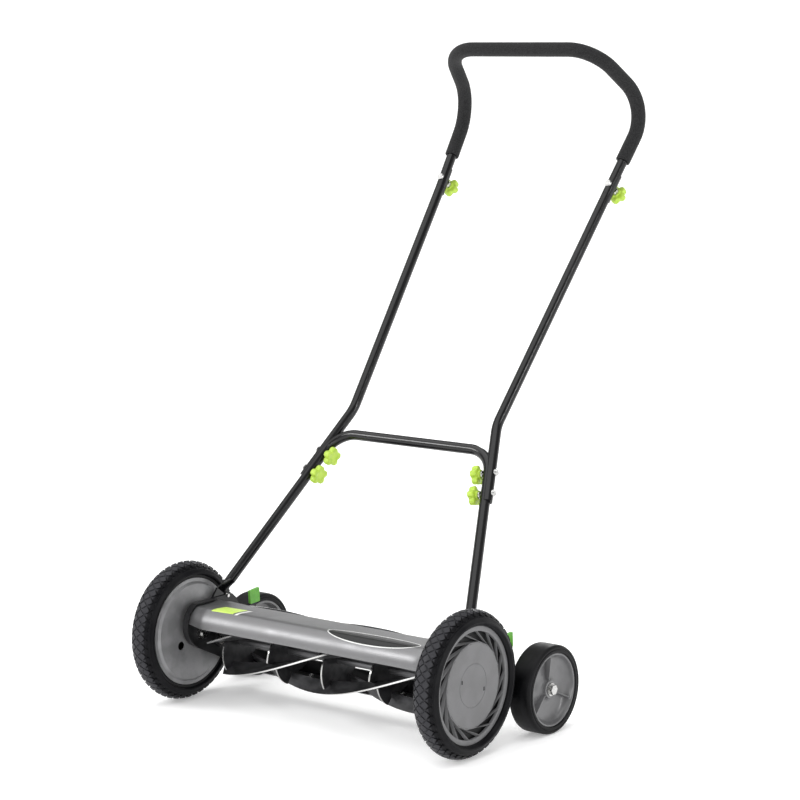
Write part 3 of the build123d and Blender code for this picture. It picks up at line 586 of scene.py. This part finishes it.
def tail_rim_surface():
    """Rim with a barrel, hub and deep dish, and three ribs from the hub to the rim."""
    skin = turned([(312, 64.2), (312, 60.5), (326, 60.2), (330.5, 58), (332, 52), (332, 20), (329, 15),
                   (306, 12.2), (305, 11.4), (305, 5.2), (346.2, 5.2), (346.4, 14.6), (346.0, 15.4),
                   (342.0, 16.2), (338.6, 17.8), (337.0, 21), (336.6, 30), (336.8, 44), (338.4, 52),
                   (342.6, 57.4), (348.0, 60.2), (352.4, 61.0), (353.2, 61.5), (353.6, 62.3),
                   (353.6, 63.4), (353.0, 64.2)], TAIL_AXLE, 128)
    parts = [skin]
    for start in (95, 215, 335):
        verts, faces = [], []
        across = Vector((0, -sin(radians(start)), cos(radians(start))))
        for i in range(13):
            r = 14.0 + 46.2 * i / 12
            top = 345.2 + 5.6 * smooth_step(r, 14, 62)
            y, z = on_disc(TAIL_AXLE, r, start)
            for side_shift, x in ((-1.7, 336.2), (-1.25, top - 1.2), (-0.7, top - 0.2), (0.7, top - 0.2),
                                  (1.25, top - 1.2), (1.7, 336.2)):
                verts.append((x, y + across.y * side_shift, z + across.z * side_shift))
        for i in range(12):
            for j in range(5):
                a = i * 6 + j
                faces.append((a, a + 1, a + 7, a + 6))
        parts.append((verts, faces))
    return join(*parts)


tail_tyre = tail_tyre_surface()
tail_rim = tail_rim_surface()
for side_name, side in SIDES:
    make_mesh(f"tail_tyre_{side_name}_beaded", *mirrored(*tail_tyre, side), "tail_tyre",
              f"{side_name}_tail_wheel", (f"tail_tyre_{side_name}",), sharp=50)
    make_mesh(f"tail_rim_{side_name}_dished", *mirrored(*tail_rim, side), "tail_rim_grey",
              f"{side_name}_tail_wheel", (f"tail_rim_{side_name}",), sharp=40)


# Cover with its decals --------------------------------------------------------------------------------
COVER_HALF = 277.0
HOOD = (0.0, 145.0)
HOOD_RADIUS = 41.0
REAR_EDGE = 42.0


def cover_point(x, s, lift=0.0):
    """Point on the outer skin: s runs from 0, the rear edge, over 1, the crease, to 2, the lower edge."""
    end = smooth_step(abs(x), 238, 256)
    corner = smooth_step(abs(x), 240, 276)
    radius = HOOD_RADIUS - 1.8 * end + lift
    top = HOOD[1] + (36.4 - 1.6 * end) + lift
    if s < 1:
        crease_y = -sqrt(max(0.0, radius ** 2 - (top - HOOD[1]) ** 2))
        y = REAR_EDGE + (crease_y - REAR_EDGE) * s
        flare = 2.2 * smooth_step(abs(x), 190, 270) * smooth_step(1 - s, 0.45, 1.0)
        z = top + flare - 0.6 * (1 - s) ** 2
        blend = smooth_step(s, 0.86, 1.0)
        z -= 0.55 * blend * (1 - end)
        return x, y, z
    start = acos(min(1.0, (top - HOOD[1]) / radius))
    finish = radians(88 - 7 * corner)
    angle = start + (finish - start) * (s - 1)
    dip = 0.55 * (1 - smooth_step(s, 1.0, 1.1)) * (1 - end)
    return x, HOOD[0] - radius * sin(angle), HOOD[1] + radius * cos(angle) - dip


def cover_surface():
    stations = 150
    rows = [k / 24 for k in range(24)] + [1 + k / 34 for k in range(35)]
    verts, faces = [], []
    for lift in (0.0, -1.5):
        for i in range(stations + 1):
            x = -COVER_HALF + 2 * COVER_HALF * i / stations
            for s in rows:
                verts.append(cover_point(x, s, lift))
    count = len(rows)
    skin = (stations + 1) * count
    for i in range(stations):
        for j in range(count - 1):
            a = i * count + j
            faces.append((a, a + count, a + count + 1, a + 1))
            faces.append((skin + a, skin + a + 1, skin + a + count + 1, skin + a + count))
    for i in range(stations):
        for j in (0, count - 1):
            a, b = i * count + j, (i + 1) * count + j
            faces.append((a, a + skin, b + skin, b))
    for j in range(count - 1):
        for i in (0, stations):
            a = i * count + j
            faces.append((a, a + 1, a + 1 + skin, a + skin))
    return verts, faces


make_mesh("cover_pressed", *cover_surface(), "cover_silver", "chassis", ("blade_cover",), sharp=50)


def cover_patch(name, outline, material, lift):
    """A thin decal on the cover: outline is a list of (x, s) points around its middle."""
    middle_x = sum(p[0] for p in outline) / len(outline)
    middle_s = sum(p[1] for p in outline) / len(outline)
    rings = 12
    verts = [cover_point(middle_x, middle_s, lift)]
    faces = []
    for k in range(1, rings + 1):
        for x, s in outline:
            verts.append(cover_point(middle_x + (x - middle_x) * k / rings,
                                     middle_s + (s - middle_s) * k / rings, lift))
    count = len(outline)
    for i in range(count):
        j = (i + 1) % count
        faces.append((0, 1 + i, 1 + j))
        for k in range(rings - 1):
            a = 1 + k * count
            faces.append((a + i, a + count + i, a + count + j, a + j))
    for i, (x, s) in enumerate(outline):
        verts.append(cover_point(x, s, 0.02))
    last = 1 + (rings - 1) * count
    for i in range(count):
        j = (i + 1) % count
        faces.append((last + i, last + count + i, last + count + j, last + j))
    make_mesh(name, verts, faces, "cover_silver", "chassis", material=material, sharp=60)


def oval(grow, count=72):
    """Outline of the oval badge, which hangs further down the round front than it reaches back."""
    points = []
    for k in range(count):
        angle = -2 * pi * k / count
        reach = 0.49 if sin(angle) > 0 else 0.28
        points.append((134 + (99 + grow) * cos(angle),
                       0.90 + (reach + grow * 0.02) * sin(angle) - 0.04 * cos(angle)))
    return points


def slanted_bar(start, end):
    """Outline of a bar on the cover between two stations, leaning like a forward slash."""
    corners = [(start - 8, 1.13), (end - 8, 1.09), (end, 0.52), (start, 0.58)]
    return [(a[0] + (b[0] - a[0]) * k / 14, a[1] + (b[1] - a[1]) * k / 14)
            for a, b in zip(corners, corners[1:] + corners[:1]) for k in range(14)]


cover_patch("badge_border", oval(0.0), "decal_white", 0.12)
cover_patch("badge_field", oval(-2.4), "decal_black", 0.22)
cover_patch("stripe_decal", slanted_bar(-222, -172), "decal_lime", 0.12)
cover_patch("stripe_edge_decal", slanted_bar(-167, -160), "decal_white", 0.12)


# Foam grip ---------------------------------------------------------------------------------------------
TUBE_RADIUS = 9.5
FOAM_RADIUS = 13.6
GRIP_RADIUS = 73.0                                   # of the foam's bends
SEAM = Vector((192.1, 607.7, 909.2))                 # where the grip's straight leg starts
GRIP_BEND = Vector((206.7, 725.7, 1068.6))
GRIP_CORNER = Vector((166.4, 599.3, 1175.6))


def flip(point):
    return Vector((-point.x, point.y, point.z))


foam_start = SEAM + (GRIP_BEND - SEAM).normalized() * 75.9
foam_path = fillet_path([foam_start, GRIP_BEND, GRIP_CORNER, flip(GRIP_CORNER), flip(GRIP_BEND),
                         flip(foam_start)], GRIP_RADIUS, 28)


def foam_surface():
    """The foam's skin, with both ends closed onto the tube by a small rounded edge."""
    total = sum((b - a).length for a, b in zip(foam_path, foam_path[1:]))
    end = [(0.0, TUBE_RADIUS + 0.2), (0.0, 12.6), (0.15, 13.2), (0.7, 13.55), (1.6, FOAM_RADIUS)]
    rounded = end[-1][0]
    count = 260
    rings = end + [(rounded + (total - 2 * rounded) * k / count, FOAM_RADIUS) for k in range(1, count)]
    rings += [(total - along, radius) for along, radius in reversed(end)]
    return swept(foam_path, rings, 48)


make_mesh("foam_grip_skin", *foam_surface(), "foam", "handle", ("foam_grip",), sharp=60)


# Knobs -----------------------------------------------------------------------------------------------
LEG_LOW = Vector((271.2, 75.7, 214.1))
LEG_CORNER = Vector((174.8, 271.0, 470.7))
leg_way = (LEG_CORNER - LEG_LOW).normalized()
leg_out = (Vector((1, 0, 0)) - leg_way * leg_way.x).normalized()
grip_way = (GRIP_BEND - SEAM).normalized()
grip_out = Vector((0, -grip_way.z, grip_way.y)).normalized()
lower_bolt = LEG_LOW + leg_way * ((404 - LEG_LOW.z) / leg_way.z)
middle_bolt = lower_bolt + leg_way * 42
upper_bolt = SEAM + grip_way * 19.7

# Each knob: name, point on the tube's axis, direction to the bolt's head, and where the knob starts.
KNOBS = (("lower", lower_bolt, leg_out, 13.0), ("middle", middle_bolt, leg_out, 13.0),
         ("upper", upper_bolt, grip_out, 19.1))


def knob_surface(base, way):
    """Five-lobed knob from its seat outwards along way; rings are (height, radius, share of lobes)."""
    across = way.orthogonal().normalized()
    up = way.cross(across)
    rings = [(0.0, 3.2, 0), (0.0, 8.4, 0), (0.4, 9.0, 0), (3.2, 9.3, 0), (4.0, 12.0, 0.6),
             (4.4, 15.2, 1), (5.4, 16.1, 1), (7.5, 16.4, 1), (12.0, 16.3, 1), (14.6, 15.9, 1),
             (15.9, 14.9, 1), (16.4, 13.2, 0.9), (16.5, 11.0, 0.6), (16.3, 9.0, 0.25), (15.4, 8.2, 0),
             (15.2, 6.0, 0), (15.2, 0.05, 0)]
    around = 100
    verts, faces = [], []
    for height, radius, lobes in rings:
        for k in range(around):
            angle = 2 * pi * k / around
            wave = cos(5 * angle)
            reach = radius + lobes * (2.3 * wave - 0.9 * wave * wave + 0.2)
            verts.append(tuple(base + way * height + (across * cos(angle) + up * sin(angle)) * reach))
    for i in range(len(rings) - 1):
        for k in range(around):
            n = (k + 1) % around
            faces.append((i * around + k, i * around + n, (i + 1) * around + n, (i + 1) * around + k))
    return verts, faces


for knob_name, centre, out, start in KNOBS:
    knob = knob_surface(centre - out * start, -out)
    for side_name, side in SIDES:
        make_mesh(f"{knob_name}_knob_{side_name}_lobed", *mirrored(*knob, side), "knob_lime",
                  f"{side_name}_{knob_name}_knob", (f"{knob_name}_knob_{side_name}",), sharp=45)


# CAD nodes that stay: finishes --------------------------------------------------------------------------
OWN_FINISH = {"reel_spiders": "spider_steel", "reel_shaft": "shaft_steel"}
SLOT_OF = {part["node"]: part["material_slot"] for part in frame["record"]["subparts"]}
for node_name, node in frame["nodes"].items():
    finish = OWN_FINISH.get(node_name, SLOT_OF[node_name])
    node.data.materials.clear()
    node.data.materials.append(MATERIALS[finish])


# Floor, camera and light ---------------------------------------------------------------------------------
def floor_bowl():
    """A flat floor that rises gently far away, so that it fills the view behind the object."""
    around = 64
    verts, faces = [(0, 0, 0)], []
    for radius, height in ((20, 0), (30, 0.4), (45, 2.5), (70, 10), (90, 22)):
        verts += [(radius * cos(2 * pi * k / around), radius * sin(2 * pi * k / around), height)
                  for k in range(around)]
    for k in range(around):
        n = (k + 1) % around
        faces.append((0, 1 + k, 1 + n))
        for ring in range(4):
            a = 1 + ring * around
            faces.append((a + k, a + around + k, a + around + n, a + n))
    return verts, faces


floor_mesh = bpy.data.meshes.new("floor")
bowl_verts, bowl_faces = floor_bowl()
floor_mesh.from_pydata(bowl_verts, [], bowl_faces)
floor_mesh.shade_smooth()
floor = bpy.data.objects.new("floor", floor_mesh)
floor_mesh.materials.append(MATERIALS["floor"])
bpy.context.scene.collection.objects.link(floor)

azimuth, elevation = radians(37.8), radians(8.19)
toward_camera = Vector((sin(azimuth) * cos(elevation), -cos(azimuth) * cos(elevation), sin(elevation)))
camera_data = bpy.data.cameras.new("camera")
camera_data.sensor_width = 36.0
camera_data.lens = 110.95
camera_data.clip_end = 200
camera = bpy.data.objects.new("camera", camera_data)
camera.location = (2.6890, -3.2342, 1.1836)
camera.rotation_euler = (-toward_camera).to_track_quat("-Z", "Y").to_euler()
bpy.context.scene.collection.objects.link(camera)
bpy.context.scene.camera = camera


def studio_world():
    """Bright low on the horizon and at the zenith, darker between, as in a studio with a white sweep."""
    world = bpy.data.worlds.new("studio")
    world.use_nodes = True
    tree = world.node_tree
    coords = tree.nodes.new("ShaderNodeTexCoord")
    split = tree.nodes.new("ShaderNodeSeparateXYZ")
    ramp = tree.nodes.new("ShaderNodeValToRGB")
    tree.links.new(coords.outputs["Generated"], split.inputs[0])
    tree.links.new(split.outputs["Z"], ramp.inputs["Fac"])
    stops = ramp.color_ramp.elements
    stops[0].color = (0.95, 0.95, 0.95, 1)
    stops[1].color = (0.85, 0.85, 0.85, 1)
    for position, level in ((0.2, 0.95), (0.42, 0.42), (0.75, 0.42)):
        stops.new(position).color = (level, level, level, 1)
    tree.links.new(ramp.outputs["Color"], tree.nodes["Background"].inputs["Color"])
    tree.nodes["Background"].inputs["Strength"].default_value = 0.9
    return world


bpy.context.scene.world = studio_world()
bpy.context.scene.view_settings.view_transform = "Standard"


def aim(lamp, place, target):
    lamp.location = place
    lamp.rotation_euler = (Vector(target) - Vector(place)).to_track_quat("-Z", "Y").to_euler()
    bpy.context.scene.collection.objects.link(lamp)


def soft_light(name, place, target, width, height, watts):
    data = bpy.data.lights.new(name, "AREA")
    data.shape = "RECTANGLE"
    data.size = width
    data.size_y = height
    data.energy = watts
    aim(bpy.data.objects.new(name, data), place, target)


sky = bpy.data.lights.new("overhead", "SUN")
sky.energy = 1.7
sky.angle = radians(75)
aim(bpy.data.objects.new("overhead", sky), (-1.0, -1.0, 6.0), (0, 0, 0))
soft_light("key", (-2.1, -2.1, 1.9), (0, 0, 0.25), 0.9, 0.9, 34)
soft_light("front_strip", (0.9, -3.2, 1.3), (0, 0.3, 0.6), 0.12, 2.2, 18)
soft_light("side_strip", (3.2, 0.4, 1.4), (0, 0.3, 0.6), 0.12, 2.2, 26)
soft_light("rear_strip", (-1.4, 3.2, 1.6), (0, 0.3, 0.5), 0.4, 1.8, 16)
